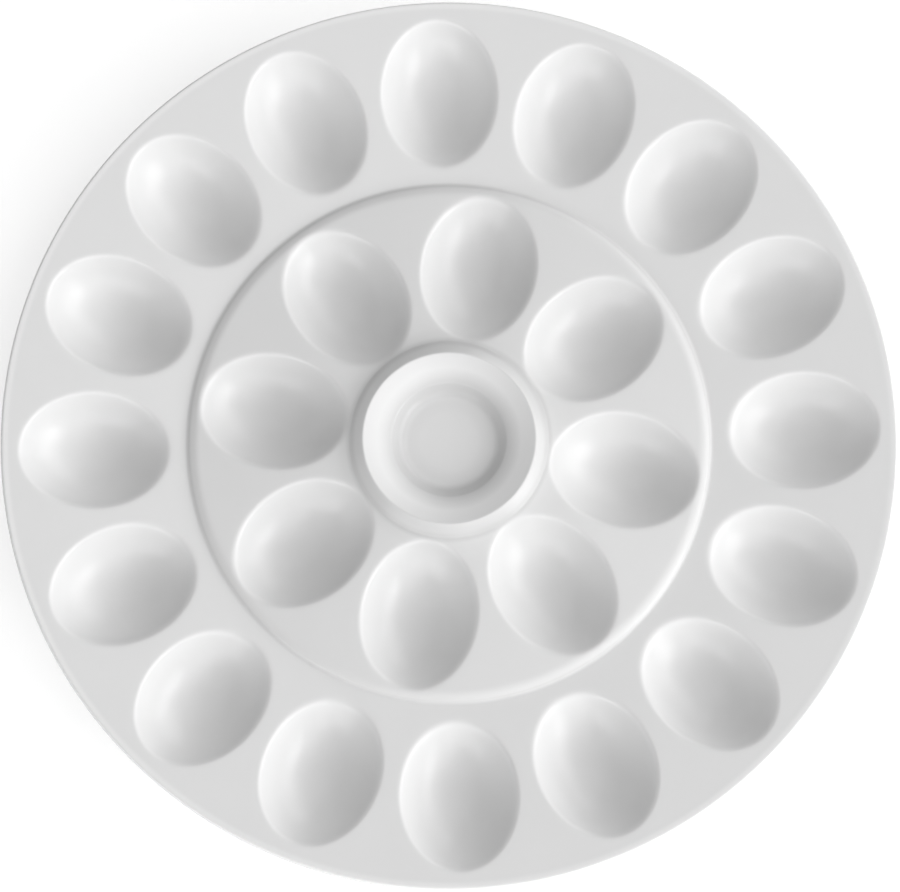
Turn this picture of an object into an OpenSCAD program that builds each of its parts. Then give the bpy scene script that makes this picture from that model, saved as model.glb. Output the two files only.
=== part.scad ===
// Deviled egg platter: one round of glazed porcelain with two rings of egg wells
// round a raised dip bowl, standing on an unglazed foot ring.
// Z is up from the table, the platter's axis is the Z axis, and +X passes
// through the middle of an inner well.

/* [Egg wells] */
// Length of a well's opening, along the platter's radius
well_l = 51.6; // [40:0.2:60]
// Width of a well's opening
well_w = 40.2; // [30:0.2:46]
// Depth of a well below the deck
well_depth = 14; // [10:0.5:18]
// Width of the soft edge round a well's mouth
edge_w = 1.6; // [0.8:0.1:2]
// Slope of the soft edge where it leaves the deck, in degrees
edge_angle = 32; // [20:1:40]
// Number of wells in the outer ring
outer_count = 16; // [12:1:20]
// Number of wells in the inner ring
inner_count = 8; // [6:1:10]
// Narrowest clay between neighbouring outer wells
outer_web = 5.2; // [3:0.1:12]
// Narrowest clay between neighbouring inner wells
inner_web = 3; // [2:0.1:8]

/* [Body] */
// Thickness of the porcelain
wall = 4; // [3:0.1:5]
// Height of the lowest cups above the table
cup_clearance = 1.5; // [0.5:0.1:4]
// Width of the land that each cup keeps round its mouth
land_w = 0.5; // [0.3:0.1:0.9]
// Land past the two ends of a mouth
land_end = 1.2; // [0.9:0.1:2]

/* [Decks] */
// Rise of the outer deck towards the rim, in degrees
outer_slope = 7.5; // [0:0.5:12]
// Fall of the inner deck towards the step, in degrees
inner_slope = 1.5; // [0:0.5:4]
// Deck and step between the tips of the two rings of wells
ring_gap = 7.9; // [7.5:0.1:16]
// Deck between the tips of the outer wells and the foot of the step
step_margin = 5; // [4:0.1:6]
// Width of the step between its two bends
step_run = 2.8; // [2.6:0.1:4]
// Slope of the step, in degrees
step_angle = 36; // [20:1:45]
// Radius of the step's upper bend
step_top_r = 6; // [2:0.5:7]
// Radius of the step's lower bend
step_foot_r = 3; // [1:0.5:3.5]

/* [Dip bowl] */
// Radius of the crest of the collar round the bowl
collar_r = 30.5; // [28:0.5:36]
// Deck between the tips of the inner wells and the crest of the collar
collar_margin = 5.1; // [4.6:0.1:12]
// Width of the collar's outer flank, from its crest to its foot
collar_w = 4.6; // [4:0.1:5]
// Width of the collar inside its crest
collar_in_w = 2.4; // [2:0.1:4]
// Slope of the collar's outer flank, in degrees
collar_angle = 37; // [15:1:42]
// Rounding of the collar's crest
collar_crest_r = 1.4; // [1:0.1:3]
// Radius of the blend from the collar to the inner deck
collar_sweep_r = 3; // [2:0.5:5]
// Radius of the bowl's flat floor out to its wall
bowl_floor_r = 15.9; // [12:0.1:17]
// Radius at which the bowl's wall bends
bowl_bend_r = 20.2; // [19.2:0.1:24]
// Slope of the bowl's lower wall, in degrees
bowl_low_angle = 46; // [30:1:50]
// Slope of the bowl's upper wall, in degrees
bowl_high_angle = 23; // [15:1:40]
// Radius of the sweep from the floor into the wall
bowl_sweep_r = 10; // [4:1:10]
// Radius of the bend in the wall
bowl_bend_round = 3; // [1:0.5:4]

/* [Rim] */
// Deck between the tips of the outer wells and the bead of the rim
rim_margin = 2.3; // [2:0.1:12]
// Width of the bead round the rim
bead_w = 3.2; // [2.6:0.1:6]
// Height of the bead above the deck
bead_h = 0.3; // [0.3:0.1:1.2]
// Rounding of the bead's top and bottom edges
bead_r = 1.5; // [0.8:0.1:1.5]

/* [Foot ring] */
// Width of the foot ring where it leaves the body
foot_w = 5; // [3:0.1:6]
// Width of the bare band that the platter stands on
foot_flat_w = 2.6; // [1.5:0.1:3]
// Height of the tapered end of the foot
foot_taper_h = 3; // [1:0.1:5]

/* [Hidden] */
$fn = 96;

// Share of a bowl's depth by which the centre of its ellipsoid stands above the deck
bowl_lift_share = 1.2;
// The same share for the flatter ellipsoid that breaks the mouth's edge
edge_lift_share = 2;
// Slope of the bead's inner flank, in degrees
bead_angle = 30;
// Turn of one flat on the rounded corners of the section, in degrees
round_turn = 5;
// Share of the way from the collar's crest to the cups at which the collar ends
collar_end_share = 0.9;
// Overrun of every cut
over = 1;

// Half length and half width of a mouth with its soft edge, and of a cup with its land
mouth_a = well_l / 2 + edge_w;
mouth_b = well_w / 2 + edge_w;
cup_a = mouth_a + land_end;
cup_b = mouth_b + land_w;
// Depth of the ellipsoid that leaves the deck at the edge's slope
edge_depth = mouth_b * tan(edge_angle) / (2 + 1 / edge_lift_share);

// How far an ellipse turned by an angle reaches to one side
function reach(a, b, turn) = sqrt(pow(b * cos(turn), 2) + pow(a * sin(turn), 2));
// Radius of the ring on which a number of mouths stand with a web of clay between them
function pitch(count, web) =
    (reach(mouth_a, mouth_b, 180 / count) + web / 2) / sin(180 / count);

inner_pitch_r = max(
    pitch(inner_count, inner_web),
    collar_r + collar_margin + mouth_a
);
outer_pitch_r = max(
    pitch(outer_count, outer_web),
    inner_pitch_r + 2 * mouth_a + ring_gap
);

// Radii of the section's corners and of the parts' borders, from the collar out to the rim
collar_in_r = collar_r - collar_in_w;
collar_out_r = collar_r + collar_end_share * (collar_margin - land_end);
collar_foot_r = collar_r + collar_w;
step_out_r = outer_pitch_r - mouth_a - step_margin;
step_in_r = step_out_r - step_run;
bead_in_r = outer_pitch_r + mouth_a + rim_margin;
rim_r = bead_in_r + bead_w;
rim_in_r = bead_in_r - (rim_margin - land_end) / 2;
// The step's lower bend ends here, and the outer deck starts
deck_split_r = step_out_r + step_foot_r * tan((step_angle + outer_slope) / 2);

// Heights: the inner cups clear the table, and each tier follows from the one inside it
inner_z = cup_clearance + wall + well_depth;
step_in_z = inner_z - (step_in_r - inner_pitch_r) * tan(inner_slope);
step_out_z = step_in_z - step_run * tan(step_angle);
outer_z = step_out_z + (outer_pitch_r - step_out_r) * tan(outer_slope);
bead_in_z = outer_z + (bead_in_r - outer_pitch_r) * tan(outer_slope);
bead_top_z = bead_in_z + bead_h;
collar_foot_z = inner_z + (inner_pitch_r - collar_foot_r) * tan(inner_slope);
crest_z = collar_foot_z + collar_w * tan(collar_angle);
bowl_bend_z = crest_z - (collar_r - bowl_bend_r) * tan(bowl_high_angle);
bowl_floor_z = bowl_bend_z - (bowl_bend_r - bowl_floor_r) * tan(bowl_low_angle);
bead_flank_w = bead_h / (tan(bead_angle) - tan(outer_slope) / 2);

// Corners of the upper surface as [radius, height, rounding], from the axis to the bead
top_corners = [
    [0, bowl_floor_z, 0],
    [bowl_floor_r, bowl_floor_z, bowl_sweep_r],
    [bowl_bend_r, bowl_bend_z, bowl_bend_round],
    [collar_r, crest_z, collar_crest_r],
    [collar_foot_r, collar_foot_z, collar_sweep_r],
    [step_in_r, step_in_z, step_top_r],
    [step_out_r, step_out_z, step_foot_r],
    [bead_in_r, bead_in_z, bead_r]
];
// Corners of the rim: the bead's top, its outer edge and the edge below it
rim_corners = [
    [bead_in_r + bead_flank_w, bead_top_z, bead_r],
    [rim_r, bead_top_z, bead_r],
    [rim_r, bead_in_z - wall, bead_r]
];
body_corners = under(top_corners, wall);

outer_color = "#f6f6f8";
inner_color = "#eeeef2";
rim_color = "#ffffff";
cup_color = "#e4e6ee";
dip_color = "#d9dde8";
bisque_color = "#e9dfcf";

outer_cups = [for (i = [1:outer_count]) str("outer_cup_", i < 10 ? "0" : "", i)];
inner_cups = [for (i = [1:inner_count]) str("inner_cup_", i)];

// The direction from one point of a section to the next, and its downward normal
function along(p, q) = let (d = [q[0] - p[0], q[1] - p[1]]) d / norm(d);
function below(p, q) = let (d = along(p, q)) [d[1], -d[0]];
// Positive where a section turns upwards at q
function bend(p, q, r) = cross(along(p, q), along(q, r));

// The same corners one wall lower, measured square to the surface
function under(c, t) = [
    for (i = [0:len(c) - 1])
        let (
            before = below(c[max(i - 1, 0)], c[max(i, 1)]),
            after = below(c[min(i, len(c) - 2)], c[min(i + 1, len(c) - 1)]),
            shift = (before + after) * t / (1 + before * after),
            turn = i == 0 || i == len(c) - 1 ? 0 : bend(c[i - 1], c[i], c[i + 1])
        )
        [c[i][0] + (i == 0 ? 0 : shift[0]), c[i][1] + shift[1],
         turn > 0 ? c[i][2] + t : max(c[i][2] - t, 0)]
];

// Points on the arc that rounds the corner q of a section
function rounded(p, q, r) =
    let (
        into = along(p, q),
        out = along(q, r),
        turn = atan2(cross(into, out), into * out),
        setback = q[2] * tan(abs(turn) / 2),
        start = [q[0], q[1]] - into * setback,
        side = turn > 0 ? 1 : -1,
        centre = start + side * q[2] * [-into[1], into[0]]
    )
    let (steps = ceil(abs(turn) / round_turn))
    q[2] == 0 ? [[q[0], q[1]]] : [
        for (k = [0:steps])
            let (a = turn * k / steps, v = start - centre)
            centre + [v[0] * cos(a) - v[1] * sin(a), v[0] * sin(a) + v[1] * cos(a)]
    ];

// An open run of corners as points, with every corner but the two ends rounded
function run(c) = [
    for (i = [0:len(c) - 1])
        each i == 0 || i == len(c) - 1 ? [[c[i][0], c[i][1]]]
            : rounded(c[i - 1], c[i], c[i + 1])
];

function backwards(list) = [for (i = [len(list) - 1:-1:0]) list[i]];

// Half section of the whole fired body, without its cups and foot
module body_section() {
    polygon(run(concat(top_corners, rim_corners, backwards(body_corners))));
}

// Half section of the space under the body, down to the table or a little past it
module under_section(past = 0) {
    polygon(concat(
        run(concat(body_corners, [[rim_r, body_corners[len(body_corners) - 1][1], 0]])),
        [[rim_r, -past], [0, -past]]
    ));
}

// Half section of everything from the upper surface down to the table
module filled_section() {
    polygon(concat(run(top_corners), [[bead_in_r, 0], [0, 0]]));
}

// A ring of the fired body between two radii
module body_ring(r1, r2) {
    rotate_extrude() intersection() {
        body_section();
        translate([r1, 0]) square([r2 - r1, crest_z + bead_top_z]);
    }
}

// The bowl of a half egg: an ellipsoid that cuts the deck in an oval of half sizes
// a and b, with its centre raised by a share of its depth. grow adds a wall to it.
module half_egg(a, b, depth, lift_share, grow = 0) {
    lift = depth * lift_share;
    full = depth + lift;
    widen = 1 / sqrt(1 - pow(lift / full, 2));
    translate([0, 0, lift])
        scale([a * widen + grow, b * widen + grow, full + grow])
            sphere(1);
}

// An upright oval column that takes in a whole cup
module column() {
    tall = rim_r;
    translate([0, 0, -tall / 2]) linear_extrude(tall) scale([cup_a, cup_b]) circle(1);
}

// Places its children on the outer or the inner ring, level with the tilted deck,
// with +X outwards
module on_outer(i) {
    rotate([0, 0, 360 * (i - 0.5) / outer_count])
        translate([outer_pitch_r, 0, outer_z]) rotate([0, -outer_slope, 0]) children();
}

module on_inner(i) {
    rotate([0, 0, 360 * (i - 1) / inner_count])
        translate([inner_pitch_r, 0, inner_z]) rotate([0, inner_slope, 0]) children();
}

// What is left below the upper surface when the space under the body, all but
// the bulges put in as children, is taken away
module body_with_bulges() {
    difference() {
        rotate_extrude() filled_section();
        difference() {
            rotate_extrude() under_section(over);
            children();
        }
    }
}

module bulge() {
    half_egg(well_l / 2, well_w / 2, well_depth, bowl_lift_share, wall);
}

// The hollow that an egg half sits in, with the soft edge of its mouth
module egg_hollow() {
    half_egg(well_l / 2, well_w / 2, well_depth, bowl_lift_share);
    half_egg(mouth_a, mouth_b, edge_depth, edge_lift_share);
}

module outer_cup(i) {
    color(cup_color) difference() {
        intersection() {
            body_with_bulges() on_outer(i) bulge();
            on_outer(i) column();
        }
        on_outer(i) egg_hollow();
    }
}

module inner_cup(i) {
    color(cup_color) difference() {
        intersection() {
            body_with_bulges() on_inner(i) bulge();
            on_inner(i) column();
        }
        on_inner(i) egg_hollow();
    }
}

module inner_columns() {
    for (i = [1:inner_count]) on_inner(i) column();
}

module outer_columns() {
    for (i = [1:outer_count]) on_outer(i) column();
}

module rim() {
    color(rim_color) body_ring(rim_in_r, rim_r + over);
}

module outer_deck() {
    color(outer_color) difference() {
        body_ring(deck_split_r, rim_in_r);
        outer_columns();
    }
}

module inner_deck() {
    color(inner_color) difference() {
        body_ring(collar_out_r, deck_split_r);
        inner_columns();
    }
}

module dip_collar() {
    color(dip_color) body_ring(collar_in_r, collar_out_r);
}

module dip_bowl() {
    color(dip_color) body_ring(0, collar_in_r);
}

// The ring that the platter stands on, under the step, between the two rings of cups
module foot_ring() {
    foot_mid_r = (inner_pitch_r + outer_pitch_r) / 2;
    color(bisque_color) rotate_extrude() intersection() {
        under_section();
        polygon([
            [foot_mid_r - foot_flat_w / 2, 0],
            [foot_mid_r + foot_flat_w / 2, 0],
            [foot_mid_r + foot_w / 2, foot_taper_h],
            [foot_mid_r + foot_w / 2, inner_z],
            [foot_mid_r - foot_w / 2, inner_z],
            [foot_mid_r - foot_w / 2, foot_taper_h]
        ]);
    }
}

rim();
outer_deck();
inner_deck();
dip_collar();
dip_bowl();
foot_ring();
for (i = [1:outer_count]) outer_cup(i);
for (i = [1:inner_count]) inner_cup(i);
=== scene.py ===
# Deviled egg platter in white glazed porcelain: the finish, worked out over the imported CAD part.
# The platter's sizes are in millimetres until a mesh is made, and those of the table, the lamps and
# the camera in metres. Z is the platter's axis.
import math

import bpy
import numpy as np
from mathutils import Matrix, Vector


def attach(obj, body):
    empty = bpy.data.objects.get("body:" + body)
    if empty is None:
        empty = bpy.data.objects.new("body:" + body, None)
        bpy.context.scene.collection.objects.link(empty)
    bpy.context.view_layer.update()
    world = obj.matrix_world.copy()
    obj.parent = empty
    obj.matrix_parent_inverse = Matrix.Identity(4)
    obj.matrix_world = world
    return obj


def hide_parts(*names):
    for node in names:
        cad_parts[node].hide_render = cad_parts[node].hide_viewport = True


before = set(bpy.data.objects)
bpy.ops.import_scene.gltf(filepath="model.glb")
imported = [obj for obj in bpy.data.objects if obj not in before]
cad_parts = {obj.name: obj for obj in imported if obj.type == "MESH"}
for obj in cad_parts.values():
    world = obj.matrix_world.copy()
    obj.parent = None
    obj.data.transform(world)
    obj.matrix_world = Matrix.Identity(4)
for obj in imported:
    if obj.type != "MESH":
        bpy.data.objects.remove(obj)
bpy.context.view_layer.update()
print("frame loaded:", len(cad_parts), "nodes")

mm = 0.001  # in metres

# The body's section, from the dip bowl out to the rim
body = {
    "wall": 4.0,
    "innerDeckZ": 19.5,  # height of the inner deck on the pitch circle of its wells
    # each bend of the upper surface: radius, half width of the soft bend, slope after it in degrees
    "bends": [
        (15.6, 2.0, 20.0),  # the bowl's floor sweeps up into its lower wall
        (17.4, 1.2, 46.0),
        (18.8, 1.0, 54.0),
        (20.4, 0.5, 27.0),  # edge of the lower wall
        (24.6, 1.6, 22.0),  # faint crease in the upper wall
        (30.6, 0.6, -34.0),  # crest of the collar
        (33.4, 0.8, -45.0),
        (35.2, 0.6, -13.0),  # foot of the collar, which runs out on to the inner deck
        (38.2, 2.2, -6.0),
        (42.0, 3.5, -2.4),
        (90.5, 2.6, -34.0),  # top of the step
        (92.0, 0.3, -41.0),
        (93.2, 0.9, 7.5),  # foot of the step, on the outer deck
    ],
    "bendShareBelow": 0.8,  # how far the wall's thickness opens or closes a bend underneath
    "leastHalfBelow": 1.2,  # half width of the sharpest bend underneath
    "roundSteps": 384,  # points round the platter
    "slopeProbe": 0.02,  # how far to each side the surface's slope is measured
}
egg = {
    "halfLength": 25.8,
    "halfWidth": 20.1,
    "depth": 14.0,
    "lift": 16.8,  # the ellipsoid's centre stands this far above the deck
    "mouthSoft": 1.0,  # how softly the deck rolls into a well
    "bulgeSoft": 1.2,  # how softly the bulge below joins the deck's underside
    "seamLength": 28.6,  # half size of a cup's own patch of the deck
    "seamWidth": 22.2,
}
# the two rings of wells: count, pitch radius, azimuth of the first and slope of the deck in degrees
wellRings = {
    "outer": {"count": 16, "pitch": 125.81, "first": 11.25, "slope": 7.5, "node": "outer_cup_%02d"},
    "inner": {"count": 8, "pitch": 63.04, "first": 0.0, "slope": -2.4, "node": "inner_cup_%d"},
}


# A soft ramp: 0 before the bend, x after it, and between them the integral of a smooth step.
def ramp(x, half):
    t = np.clip((x + half) / (2 * half), 0, 1)
    return 2 * half * (t**3 - t**4 / 2) + np.maximum(x - half, 0)


bendR, bendHalf, bendSlope = (np.array(column) for column in zip(*body["bends"]))
slopeBefore = np.concatenate([[0], bendSlope[:-1]])
slopeStep = np.tan(np.radians(bendSlope)) - np.tan(np.radians(slopeBefore))
# the same bends one wall lower, measured square to the surface
middleSlope = np.radians((bendSlope + slopeBefore) / 2)
halfTurn = np.radians((bendSlope - slopeBefore) / 2)
bendBelowR = bendR + body["wall"] * np.sin(middleSlope) / np.cos(halfTurn)
opened = body["wall"] * np.tan(halfTurn) * body["bendShareBelow"]
bendBelowHalf = np.maximum(bendHalf + opened, body["leastHalfBelow"])
risen = slopeStep * ramp(wellRings["inner"]["pitch"] - bendR, bendHalf)
floorZ = body["innerDeckZ"] - float(risen.sum())


# Height of the bare body: the height at the axis, plus for each bend its change of slope times
# its ramp.
def bodyHeight(r, below=False):
    at, half = (bendBelowR, bendBelowHalf) if below else (bendR, bendHalf)
    return floorZ - below * body["wall"] + (slopeStep * ramp(r[..., None] - at, half)).sum(-1)


# Lower surface of an ellipsoid that stands square to a tilted deck: the lower root in z of
# (p/a)^2 + (v/b)^2 + ((n - lift)/c)^2 = 1, where p runs up the slope and n is square to it. Away
# from the ellipsoid it is far above everything, so that the least of the heights passes it over.
def eggHeight(u, v, slope, grow):
    full = egg["depth"] + egg["lift"]
    widen = 1 / math.sqrt(1 - (egg["lift"] / full) ** 2)
    a, b, c = (egg["halfLength"] * widen + grow, egg["halfWidth"] * widen + grow, full + grow)
    co, si = math.cos(slope), math.sin(slope)
    k2 = (si / a) ** 2 + (co / c) ** 2
    k1 = 2 * (u * co * si / a**2 - co * (u * si + egg["lift"]) / c**2)
    k0 = (u * co / a) ** 2 + (v / b) ** 2 + ((u * si + egg["lift"]) / c) ** 2 - 1
    inside = k1**2 - 4 * k2 * k0
    farAbove = 1000.0
    return np.where(inside > 0, (-k1 - np.sqrt(np.maximum(inside, 0))) / (2 * k2), farAbove)


# Soft least of several heights: -k log(sum(exp(-z / k))), so that edges roll and corners fill.
def softLeast(heights, k):
    z = np.stack(heights)
    low = z.min(0)
    return low - k * np.log(np.exp((low - z) / k).sum(0))


# Height of the finished surface, above or below, anywhere on the plan.
def surfaceHeight(x, y, below=False):
    r, turn = np.hypot(x, y), np.arctan2(y, x)
    heights = [bodyHeight(r, below)]
    for ring in wellRings.values():
        step = 2 * math.pi / ring["count"]
        near = (turn - math.radians(ring["first"]) + step / 2) % step - step / 2
        slope = math.radians(ring["slope"])
        z = float(bodyHeight(np.array(ring["pitch"])))
        for side in (-1, 0, 1):
            u = r * np.cos(near + side * step) - ring["pitch"]
            v = r * np.sin(near + side * step)
            heights.append(z + eggHeight(u, v, slope, body["wall"] if below else 0))
    return softLeast(heights, egg["bulgeSoft"] if below else egg["mouthSoft"])


# Points and outward normals of the surface over a plan; the normal is the gradient of the height.
def surfacePoints(x, y, below=False):
    probe = body["slopeProbe"]
    dx = surfaceHeight(x + probe, y, below) - surfaceHeight(x - probe, y, below)
    dy = surfaceHeight(x, y + probe, below) - surfaceHeight(x, y - probe, below)
    normal = np.stack([-dx, -dy, np.full_like(dx, 2 * probe)], -1)
    normal /= np.linalg.norm(normal, axis=-1, keepdims=True)
    return np.stack([x, y, surfaceHeight(x, y, below)], -1), -normal if below else normal


# A mesh from grids of points (grids x rows x columns x 3) whose columns close on themselves. The
# bands of rows named in walls are flat and the rest take the normals given. Points that fall
# together are welded, so poles and sectors close, and triangles that have lost a side are dropped.
def makePiece(name, points, normals, walls, closeRows=True, skip=None):
    grids, rowCount, columns = points.shape[:3]
    index = np.arange(rowCount * columns).reshape(rowCount, columns)
    after = np.roll(index, -1, 0) if closeRows else index[1:]
    here = index if closeRows else index[:-1]
    quads = np.stack([here, after, np.roll(after, -1, 1), np.roll(here, -1, 1)], -1)
    flat = np.zeros(quads.shape[:2], bool)
    flat[list(walls)] = True
    keep = np.ones(quads.shape[:2], bool) if skip is None else ~skip
    corners = quads[keep][:, [0, 1, 2, 0, 2, 3]].reshape(-1, 3)
    flat = np.tile(np.repeat(flat[keep], 2), grids)
    corners = (corners + rowCount * columns * np.arange(grids)[:, None, None]).reshape(-1, 3)
    place = points.reshape(-1, 3)
    spots, first, welded = np.unique(
        np.round(place, 3), axis=0, return_index=True, return_inverse=True
    )
    faces = welded.reshape(-1)[corners]
    whole = (faces != np.roll(faces, 1, 1)).all(1)
    faces, corners, flat = faces[whole], corners[whole], flat[whole]
    used, faces = np.unique(faces, return_inverse=True)
    faces, spots = faces.reshape(-1, 3), place[first][used]
    mesh = bpy.data.meshes.new(name)
    mesh.vertices.add(len(spots))
    mesh.vertices.foreach_set("co", (spots * mm).ravel())
    mesh.loops.add(faces.size)
    mesh.loops.foreach_set("vertex_index", faces.ravel().astype(np.int32))
    mesh.polygons.add(len(faces))
    mesh.polygons.foreach_set("loop_start", np.arange(0, faces.size, 3, dtype=np.int32))
    mesh.polygons.foreach_set("use_smooth", np.ones(len(faces), bool))
    mesh.update(calc_edges=True)
    sides = spots[faces]
    square = np.cross(sides[:, 1] - sides[:, 0], sides[:, 2] - sides[:, 0])
    square /= np.linalg.norm(square, axis=1, keepdims=True) + 1e-12
    cornerNormals = normals.reshape(-1, 3)[corners]
    cornerNormals[flat] = square[flat][:, None]
    mesh.normals_split_custom_set(cornerNormals.reshape(-1, 3))
    piece = bpy.data.objects.new(name, mesh)
    bpy.context.scene.collection.objects.link(piece)
    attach(piece, "root")
    return piece


# The sides of the sectors that the decks are made in: points on each side, and how closely they
# gather at both ends, where the bends are (0 is evenly, 1 is closest)
sectorSide = {"steps": 32, "gather": 0.8}


# Directions round a mouth that point at the border of its sector, so that the lines of a deck run
# from each point of the mouth to its own point of the border without crossing.
def sectorBorder(ring, inner, outer):
    arcSteps, sideSteps = body["roundSteps"] // ring["count"], sectorSide["steps"]
    half = math.pi / ring["count"]
    arc = np.linspace(-half, half, arcSteps, endpoint=False)
    side = np.linspace(0, 1, sideSteps, endpoint=False)
    side -= sectorSide["gather"] * np.sin(2 * math.pi * side) / (2 * math.pi)
    r = np.concatenate(
        [
            np.full(arcSteps, outer),
            outer + (inner - outer) * side,
            np.full(arcSteps, inner),
            inner + (outer - inner) * side,
        ]
    )
    turn = np.concatenate([arc, np.full(sideSteps, half), -arc, np.full(sideSteps, -half)])
    onSide = np.tile(np.repeat([False, True], [arcSteps, sideSteps]), 2)
    x, y = r * np.cos(turn), r * np.sin(turn)
    way = np.arctan2(y / egg["seamWidth"], (x - ring["pitch"]) / egg["seamLength"])
    return x, y, way, onSide


# A plan turned about the axis.
def turned(x, y, angle):
    return x * math.cos(angle) - y * math.sin(angle), x * math.sin(angle) + y * math.cos(angle)


# Bands of rows joined to one grid.
def rows(*parts):
    return np.concatenate(parts)


# Rows over the top as far as split, then the rest of them back underneath.
def overAndUnder(x, y, split):
    top, topNormal = surfacePoints(x[:split], y[:split])
    under, underNormal = surfacePoints(x[split:], y[split:], below=True)
    return rows(top, under), rows(topNormal, underNormal)


# Radii at which one piece ends and the next begins
seams = {"bowl": 28.1, "collar": 34.01, "innerDeck": 94.606, "outerDeck": 154.96}
borders = {
    "outer": sectorBorder(wellRings["outer"], seams["innerDeck"], seams["outerDeck"]),
    "inner": sectorBorder(wellRings["inner"], seams["collar"], seams["innerDeck"]),
}
glazed = []  # every glazed piece


# Azimuth of one well of a ring.
def angleOf(ring, i):
    return math.radians(ring["first"]) + 2 * math.pi * i / ring["count"]


# Cups: an oval grid round the middle of a well, over its bowl and mouth to the seam, and back
# below. Its rings lie closest on the bends: each band runs from one share of the seam's size to
# another in so many rings.
cupBands = {
    "well": (0, 0.82, 22),
    "mouth": (0.82, 0.97, 30),
    "deck": (0.97, 1, 4),
    "joinBelow": (1, 0.86, 14),
    "bulgeBelow": (0.86, 0, 16),
}
topShare = rows(
    np.linspace(*cupBands["well"], endpoint=False),
    np.linspace(*cupBands["mouth"], endpoint=False),
    np.linspace(*cupBands["deck"]),
)
underShare = rows(
    np.linspace(*cupBands["joinBelow"], endpoint=False), np.linspace(*cupBands["bulgeBelow"])
)
for ringName, ring in wellRings.items():
    way = borders[ringName][2]
    share = rows(topShare, underShare)[:, None]
    u = share * egg["seamLength"] * np.cos(way) + ring["pitch"]
    v = share * egg["seamWidth"] * np.sin(way)
    for i in range(ring["count"]):
        points, normals = overAndUnder(*turned(u, v, angleOf(ring, i)), len(topShare))
        node = ring["node"] % (i + 1)
        cup = makePiece(
            node + "_glazed", points[None], normals[None], [len(topShare) - 1], closeRows=False
        )
        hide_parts(node)
        glazed.append(cup)
print("cups made:", len(glazed))

# Decks: in each sector straight lines run from the seam of its cup to the border, above and below.
deckRows = {"outer": (24, 8), "inner": (46, 12)}  # rows of points above and below
for ringName, ring in wellRings.items():
    borderX, borderY, way, onSide = borders[ringName]
    above, under = deckRows[ringName]
    share = rows(np.linspace(0, 1, above), np.linspace(1, 0, under))[:, None]
    mouthX = egg["seamLength"] * np.cos(way) + ring["pitch"]
    mouthY = egg["seamWidth"] * np.sin(way)
    x, y = mouthX + (borderX - mouthX) * share, mouthY + (borderY - mouthY) * share
    skip = np.zeros((above + under, len(way)), bool)
    skip[above - 1] = onSide
    sectors = [
        overAndUnder(*turned(x, y, angleOf(ring, i)), above) for i in range(ring["count"])
    ]
    node = ringName + "_deck"
    deck = makePiece(
        node + "_glazed",
        np.stack([points for points, normals in sectors]),
        np.stack([normals for points, normals in sectors]),
        [above - 1, above + under - 1],
        skip=skip,
    )
    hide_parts(node)
    glazed.append(deck)
print("decks made")

# Bowl, collar, rim and foot all go round the axis on the same directions
roundTurn = np.linspace(-math.pi, math.pi, body["roundSteps"], endpoint=False)
roundTurn = roundTurn + math.radians(wellRings["outer"]["first"])


# A section (radius, height) carried round the axis; its normals are square to its own line, and
# the band that closes it is flat.
def revolved(name, r, z):
    along = np.stack([np.gradient(r), np.gradient(z)], -1)
    along /= np.linalg.norm(along, axis=-1, keepdims=True)
    co, si = np.cos(roundTurn), np.sin(roundTurn)
    points = np.stack([r[:, None] * co, r[:, None] * si, z[:, None] + 0 * co], -1)
    out, up = -along[:, 1, None], along[:, 0, None]
    normals = np.stack([out * co, out * si, up + 0 * co], -1)
    return makePiece(name, points[None], normals[None], [-1])


# A ring of the body between two radii, with so many rows above and below; from the axis it is a
# closed dish.
def ringOfBody(name, r1, r2, above, under):
    r = rows(np.linspace(r1, r2, above), np.linspace(r2, r1, under))
    x, y = r[:, None] * np.cos(roundTurn), r[:, None] * np.sin(roundTurn)
    points, normals = overAndUnder(x, y, above)
    walls = [above - 1] + ([above + under - 1] if r1 > 0 else [])
    return makePiece(name, points[None], normals[None], walls, closeRows=r1 > 0)


ringRows = {"bowl": (80, 24), "collar": (36, 10)}  # rows of points above and below
bowl = ringOfBody("dip_bowl_glazed", 0.0, seams["bowl"], *ringRows["bowl"])
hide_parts("dip_bowl")
collar = ringOfBody("dip_collar_glazed", seams["bowl"], seams["collar"], *ringRows["collar"])
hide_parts("dip_collar")

rimShape = {
    "beadStart": 155.5,  # where the bead leaves the deck
    "beadTop": 156.9,  # where its inner flank has reached its height
    "beadRise": 0.02,  # above the deck
    "outside": 158.6,
    "blunt": 3.6,  # 2 is an oval nose, more is squarer
    "rows": (40, 48, 6),  # of points on the deck and bead, round the nose and underneath
}
# The bead is a smooth step on the deck's slope, and the nose is a superellipse from its top to the
# underside, leaning with the deck.
tilt = math.radians(bendSlope[-1])
beadRows, noseRows, underRows = rimShape["rows"]
r = np.linspace(seams["outerDeck"], rimShape["beadTop"], beadRows)
t = np.clip((r - rimShape["beadStart"]) / (rimShape["beadTop"] - rimShape["beadStart"]), 0, 1)
z = bodyHeight(r) + rimShape["beadRise"] * t * t * (3 - 2 * t)
halfThick = (body["wall"] + rimShape["beadRise"]) / 2
middleR = rimShape["beadTop"] + halfThick * math.sin(tilt)
middleZ = z[-1] - halfThick * math.cos(tilt)
noseReach = math.sqrt(
    (rimShape["outside"] - middleR) ** 2 - (halfThick * math.sin(tilt)) ** 2
) / math.cos(tilt)
noseTurn = np.linspace(math.pi / 2, -math.pi / 2, noseRows)[1:]
power = 2 / rimShape["blunt"]
p = noseReach * np.abs(np.cos(noseTurn)) ** power
n = halfThick * np.sign(np.sin(noseTurn)) * np.abs(np.sin(noseTurn)) ** power
noseR = middleR + p * math.cos(tilt) - n * math.sin(tilt)
noseZ = middleZ + p * math.sin(tilt) + n * math.cos(tilt)
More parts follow.
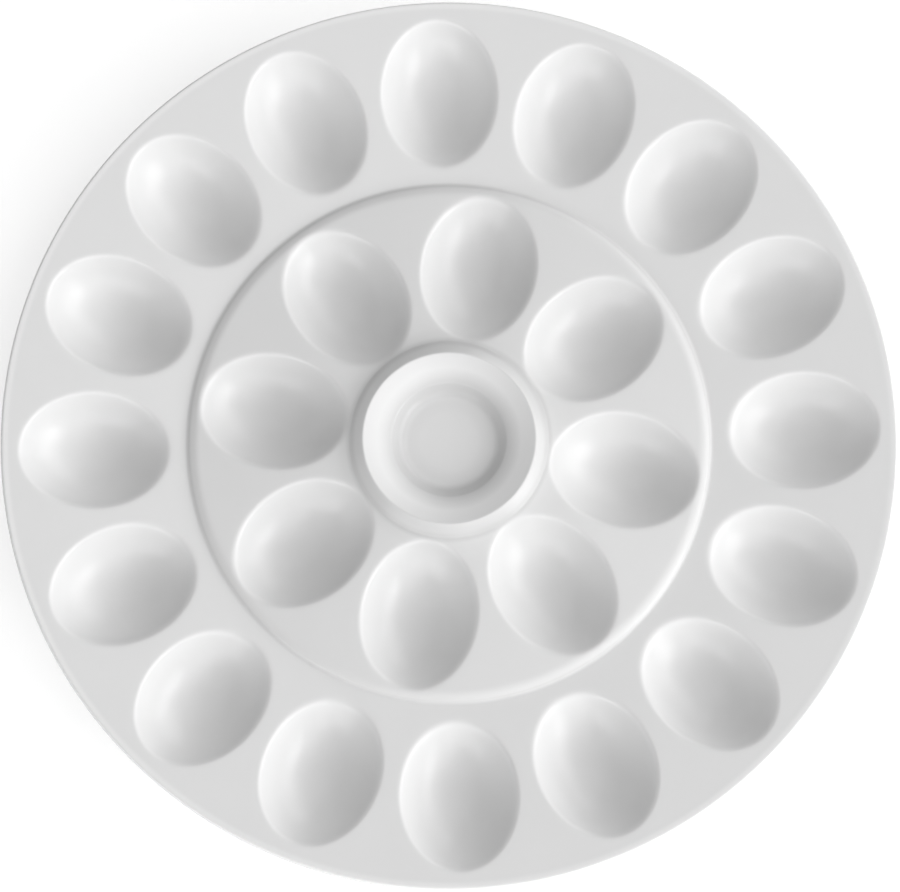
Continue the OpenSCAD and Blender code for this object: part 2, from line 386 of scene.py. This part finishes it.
underR = np.linspace(noseR[-1], seams["outerDeck"], underRows)[1:]
underZ = bodyHeight(underR, below=True)
rim = revolved("rim_glazed", rows(r, noseR, underR), rows(z, noseZ, underZ))
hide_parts("rim")

foot = {
    "middle": 94.425,
    "width": 5.0,
    "standWidth": 2.6,  # the bare band
    "taper": 3.0,  # height over which it narrows
    "round": 0.7,
    "fillet": 0.9,  # flare on each side where it joins the underside
    "filletHeight": 1.5,
    "sunk": 0.2,  # how far it reaches up into the body
    "bareHeight": 0.5,
    "rows": (12, 14, 10),  # of points on the rounding, the side and the flare
    "gaps": (0.3, 0.2),  # between the rows of the side and those of the rounding and the flare
}
# Half the foot's width at a height: a straight taper, rounded in to the standing face and flared
# out to the body.
topZ = float(bodyHeight(np.array(foot["middle"] - foot["width"] / 2), below=True))
roundRows, sideRows, filletRows = foot["rows"]
sideStart = foot["round"] + foot["gaps"][0]
sideEnd = topZ - foot["filletHeight"] - foot["gaps"][1]
h = rows(
    np.linspace(0, foot["round"], roundRows),
    np.linspace(sideStart, sideEnd, sideRows),
    topZ + np.linspace(-foot["filletHeight"], foot["sunk"], filletRows),
)
half = foot["standWidth"] + (foot["width"] - foot["standWidth"]) * np.minimum(h / foot["taper"], 1)
half = half / 2 - foot["round"] * (1 - (1 - (1 - h / foot["round"]).clip(0) ** 2) ** 0.5)
half = half + foot["fillet"] * (1 - (topZ - h) / foot["filletHeight"]).clip(0) ** 2
r = rows(foot["middle"] + half[::-1], foot["middle"] - half)
z = rows(h[::-1], h)
footPiece = revolved("foot_ring_glazed", r, z)
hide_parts("foot_ring")
glazed += [bowl, collar, rim, footPiece]
print("rings made")


# An sRGB hex value as Blender's linear colour, opaque.
def colour(hexValue):
    parts = [int(hexValue[i : i + 2], 16) / 255 for i in (1, 3, 5)]
    return [c / 12.92 if c <= 0.04045 else ((c + 0.055) / 1.055) ** 2.4 for c in parts] + [1.0]


# A node with its settings, by property or socket, and the outputs linked to its sockets.
def addNode(tree, kind, settings=None, links=None):
    node = tree.nodes.new(kind)
    for key, value in (settings or {}).items():
        if hasattr(node, key):
            setattr(node, key, value)
        else:
            node.inputs[key].default_value = value
    for key, source in (links or {}).items():
        tree.links.new(source, node.inputs[key])
    return node


# A new material, its node tree and its Principled shader.
def newMaterial(name):
    material = bpy.data.materials.new(name)
    material.use_nodes = True
    tree = material.node_tree
    return material, tree, tree.nodes["Principled BSDF"]


def setShader(shader, settings):
    for key, value in settings.items():
        shader.inputs[key].default_value = value


# White porcelain, jiggered and dipped in clear glaze: a neutral white, with light and shade
# painted into its colour in rings round the axis, under a glassy coat that gives soft but
# definite highlights. The glaze lies in long shallow waves.
porcelainLook = {
    "roughness": 0.27,
    # painted light and shade round the axis, by distance from it and colour: painted shade in the
    # bowl's lower wall, on the collar's flank and foot and at the foot of the step; painted
    # highlight on the bowl's upper wall and along the rim's bead; and the outer tier painted a
    # shade lighter than the inner
    "rings": [
        (0.0, "#ededed"),
        (10.0, "#ececec"),
        # painted shade down the bowl's lower wall
        (15.5, "#e6e6e6"),
        (17.6, "#d3d3d3"),
        (20.0, "#d6d6d6"),
        (22.5, "#e6e6e6"),
        # painted highlight on the bowl's upper wall
        (25.5, "#f4f4f4"),
        (30.0, "#f0f0f0"),
        # painted shade on the collar's outer flank and foot
        (31.0, "#e0e0e0"),
        (33.4, "#dadada"),
        (34.8, "#d0d0d0"),
        (37.0, "#e7e7e7"),
        (41.0, "#eaeaea"),
        (60.0, "#e9e9e9"),
        (91.6, "#e9e9e9"),
        # painted shade at the foot of the step
        (92.6, "#dadada"),
        (93.8, "#ededed"),
        (155.4, "#ededed"),
        # painted highlight along the rim's bead
        (156.6, "#f6f6f6"),
    ],
    "ringsEnd": 160.0,
    "wave": "#fdfdfd",  # what the waves take from the colour
    "waveSize": 14.0,  # from crest to crest of the glaze's waves
    "waveDetail": 1.0,
    "waveRoughness": 0.4,
    "waveHeight": 0.006,
}
porcelain, tree, shader = newMaterial("Porcelain, clear glazed")
setShader(shader, {"Roughness": porcelainLook["roughness"], "IOR": 1.5, "Metallic": 0.0})
where = addNode(tree, "ShaderNodeTexCoord")
waves = addNode(
    tree,
    "ShaderNodeTexNoise",
    {
        "Scale": 1 / (porcelainLook["waveSize"] * mm),
        "Detail": porcelainLook["waveDetail"],
        "Roughness": porcelainLook["waveRoughness"],
    },
    {"Vector": where.outputs["Object"]},
)
# the distance from the axis, as a share of the ramp's length, picks its ring's painted light and
# shade
onPlan = addNode(
    tree, "ShaderNodeVectorMath", {"operation": "MULTIPLY"}, {0: where.outputs["Object"]}
)
onPlan.inputs[1].default_value = (1, 1, 0)
outward = addNode(tree, "ShaderNodeVectorMath", {"operation": "LENGTH"}, {0: onPlan.outputs[0]})
along = addNode(tree, "ShaderNodeMath", {"operation": "DIVIDE"}, {0: outward.outputs["Value"]})
along.inputs[1].default_value = porcelainLook["ringsEnd"] * mm
paintedLightAndShadeRamp = addNode(tree, "ShaderNodeValToRGB", {}, {"Fac": along.outputs[0]})
stops = paintedLightAndShadeRamp.color_ramp.elements
axisRing, *paintedMiddleRings, rimPaintedHighlight = porcelainLook["rings"]
stops[0].color = colour(axisRing[1])
for distance, tone in paintedMiddleRings:
    stops.new(distance / porcelainLook["ringsEnd"]).color = colour(tone)
stops[-1].position = rimPaintedHighlight[0] / porcelainLook["ringsEnd"]
stops[-1].color = colour(rimPaintedHighlight[1])
shades = addNode(tree, "ShaderNodeValToRGB", {}, {"Fac": waves.outputs["Fac"]})
shades.color_ramp.elements[0].color = colour(porcelainLook["wave"])
# the painted light and shade, times the glaze's waves, make the base colour
# a Mix of colours takes them at sockets 6 and 7 and gives one at 2
paintedLightShadeAndWaves = addNode(tree, "ShaderNodeMix", {"data_type": "RGBA", "blend_type": "MULTIPLY"})
paintedLightShadeAndWaves.inputs[0].default_value = 1.0
tree.links.new(paintedLightAndShadeRamp.outputs["Color"], paintedLightShadeAndWaves.inputs[6])
tree.links.new(shades.outputs["Color"], paintedLightShadeAndWaves.inputs[7])
tree.links.new(paintedLightShadeAndWaves.outputs[2], shader.inputs["Base Color"])
bump = addNode(
    tree,
    "ShaderNodeBump",
    {"Strength": 1.0, "Distance": porcelainLook["waveHeight"] * mm},
    {"Height": waves.outputs["Fac"]},
)
tree.links.new(bump.outputs["Normal"], shader.inputs["Normal"])

# Bisque: the same clay, fired without glaze where the foot was wiped clean, so it is matt, a
# little warmer and finely grained.
bisqueLook = {
    "roughness": 0.85,
    "pale": "#ece6dc",
    "dark": "#ddd4c6",
    "grain": 0.6,  # coarser than the clay's own grain, so that it shows
    "grainDetail": 3.0,
    "grainHeight": 0.03,
    "grainStrength": 0.6,
}
bisque, tree, shader = newMaterial("Porcelain bisque, wiped foot")
setShader(shader, {"Roughness": bisqueLook["roughness"], "IOR": 1.5})
where = addNode(tree, "ShaderNodeTexCoord")
grain = addNode(
    tree,
    "ShaderNodeTexNoise",
    {"Scale": 1 / (bisqueLook["grain"] * mm), "Detail": bisqueLook["grainDetail"]},
    {"Vector": where.outputs["Object"]},
)
shades = addNode(tree, "ShaderNodeValToRGB", {}, {"Fac": grain.outputs["Fac"]})
shades.color_ramp.elements[0].color = colour(bisqueLook["dark"])
shades.color_ramp.elements[1].color = colour(bisqueLook["pale"])
tree.links.new(shades.outputs["Color"], shader.inputs["Base Color"])
bump = addNode(
    tree,
    "ShaderNodeBump",
    {"Strength": bisqueLook["grainStrength"], "Distance": bisqueLook["grainHeight"] * mm},
    {"Height": grain.outputs["Fac"]},
)
tree.links.new(bump.outputs["Normal"], shader.inputs["Normal"])

for piece in glazed:
    piece.data.materials.append(porcelain)
footPiece.data.materials.append(bisque)
centres = np.zeros(len(footPiece.data.polygons) * 3)
footPiece.data.polygons.foreach_get("center", centres)
bare = (centres[2::3] < foot["bareHeight"] * mm).astype(np.int32)
footPiece.data.polygons.foreach_set("material_index", bare)
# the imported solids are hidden, and carry the same finish
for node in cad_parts.values():
    node.data.materials.clear()
    node.data.materials.append(bisque if node.name == "foot_ring" else porcelain)
print("materials made")

# Table, light and camera
scene = bpy.context.scene
tabletop = {
    "reach": 4.0,  # half its side
    "colour": "#f0f0f0",
    # the softboxes light the paper near the platter, and further off it needs more glow to show
    # white: distances and the glow at each
    "nearGlow": (0.4, 0.5),
    "farGlow": (0.9, 1.0),
}
floorMesh = bpy.data.meshes.new("table")
reach = tabletop["reach"]
floorMesh.from_pydata(
    [(-reach, -reach, 0), (reach, -reach, 0), (reach, reach, 0), (-reach, reach, 0)],
    [],
    [(0, 1, 2, 3)],
)
table = bpy.data.objects.new("table", floorMesh)
scene.collection.objects.link(table)


# 1 for a ray from the camera, off a gloss or through a glass, and 0 for all others: what such a
# ray sees of the background is white.
def seesBackground(tree):
    ray = addNode(tree, "ShaderNodeLightPath")
    seen = ray.outputs["Is Camera Ray"]
    for kind in ("Is Glossy Ray", "Is Transmission Ray"):
        both = addNode(tree, "ShaderNodeMath", {"operation": "MAXIMUM"}, {0: seen})
        tree.links.new(ray.outputs[kind], both.inputs[1])
        seen = both.outputs[0]
    return seen


# Matt white paper: it shows white to the camera and keeps the platter's shadow.
paper, tree, shader = newMaterial("Table, matt white paper")
setShader(
    shader,
    {"Base Color": colour(tabletop["colour"]), "Roughness": 0.9, "Specular IOR Level": 0.1},
)
where = addNode(tree, "ShaderNodeTexCoord")
away = addNode(
    tree, "ShaderNodeVectorMath", {"operation": "LENGTH"}, {0: where.outputs["Object"]}
)
near, far = tabletop["nearGlow"], tabletop["farGlow"]
rise = addNode(
    tree,
    "ShaderNodeMapRange",
    {"From Min": near[0], "From Max": far[0], "To Min": near[1], "To Max": far[1]},
    {"Value": away.outputs["Value"]},
)
glow = addNode(
    tree, "ShaderNodeEmission", {"Color": (1, 1, 1, 1)}, {"Strength": rise.outputs["Result"]}
)
lift = addNode(tree, "ShaderNodeAddShader", {}, {0: shader.outputs[0], 1: glow.outputs[0]})
pick = addNode(
    tree,
    "ShaderNodeMixShader",
    {},
    {0: seesBackground(tree), 1: shader.outputs[0], 2: lift.outputs[0]},
)
tree.links.new(pick.outputs[0], tree.nodes["Material Output"].inputs["Surface"])
floorMesh.materials.append(paper)

# The room is white to look at and nearly dark otherwise, so that the softboxes do the lighting
room = {"colour": "#ffffff", "light": 0.06}
world = bpy.data.worlds.new("Studio")
scene.world = world
world.use_nodes = True
tree = world.node_tree
sky = tree.nodes["Background"]
sky.inputs["Color"].default_value = colour(room["colour"])
# a Mix of numbers takes them at sockets 2 and 3
level = addNode(tree, "ShaderNodeMix", {"data_type": "FLOAT"}, {0: seesBackground(tree)})
level.inputs[2].default_value = room["light"]
level.inputs[3].default_value = 1.0
tree.links.new(level.outputs[0], sky.inputs["Strength"])


# The way from the platter to a place at this azimuth and elevation, in degrees.
def wayTo(azimuth, elevation):
    a, e = math.radians(azimuth), math.radians(elevation)
    return Vector((math.cos(a) * math.cos(e), math.sin(a) * math.cos(e), math.sin(e)))


# Softboxes all round, most of them low, so that the wells stay darker than the deck: azimuth and
# elevation in degrees as seen from the platter, width, and power in watts
softboxes = [
    (0, 88, 2.4, 8.4),
    (-22, 58, 1.2, 1.5),
    (100, 66, 0.9, 0.5),
    (70, 44, 0.9, 0.9),
    (-65, 44, 0.9, 0.9),
    (40, 27, 0.9, 3.3),
    (10, 27, 0.8, 1.4),
    (-20, 25, 0.6, 2.7),
    (-50, 27, 0.9, 2.3),
    (-80, 27, 0.9, 1.3),
    (70, 13, 0.8, 3.3),
    (10, 13, 0.8, 4.5),
    (-20, 13, 0.8, 5.4),
    (-80, 13, 0.8, 2.5),
    (-112, 15, 0.8, 4.9),
    (160, 13, 0.8, 1.0),
    (210, 10, 0.8, 1.2),
]
softboxDistance = 1.5  # from the platter
for number, (azimuth, elevation, width, watts) in enumerate(softboxes):
    light = bpy.data.lights.new("Softbox %d" % number, "AREA")
    light.shape = "SQUARE"
    light.size = width
    light.energy = watts
    lamp = bpy.data.objects.new("Softbox %d" % number, light)
    scene.collection.objects.link(lamp)
    way = wayTo(azimuth, elevation)
    lamp.location = way * softboxDistance
    lamp.rotation_euler = way.to_track_quat("Z", "Y").to_euler()

# The photograph's viewpoint, nearly straight above and a long way off: angles in degrees, and the
# lens and the sensor in millimetres
viewpoint = {
    "azimuth": -79.69,
    "elevation": 81.67,
    "roll": -0.68,
    "distance": 1.2974,
    "aimZ": 0.02101,  # height of the outer deck on the pitch circle
    "lens": 146.6,
    "sensor": 36,
    "shift": (0.001, -0.0071),
    "sightEnd": 20,
}
cameraData = bpy.data.cameras.new("Camera")
camera = bpy.data.objects.new("Camera", cameraData)
scene.collection.objects.link(camera)
back = wayTo(viewpoint["azimuth"], viewpoint["elevation"])
turn = back.to_track_quat("Z", "Y").to_matrix().to_4x4()
roll = Matrix.Rotation(math.radians(viewpoint["roll"]), 4, "Z")
aim = Matrix.Translation(back * viewpoint["distance"] + Vector((0, 0, viewpoint["aimZ"])))
camera.matrix_world = aim @ turn @ roll
cameraData.lens = viewpoint["lens"]
cameraData.sensor_width = viewpoint["sensor"]
cameraData.shift_x, cameraData.shift_y = viewpoint["shift"]
cameraData.clip_end = viewpoint["sightEnd"]
scene.camera = camera
scene.view_settings.view_transform = "Standard"
print("table, light and camera made")
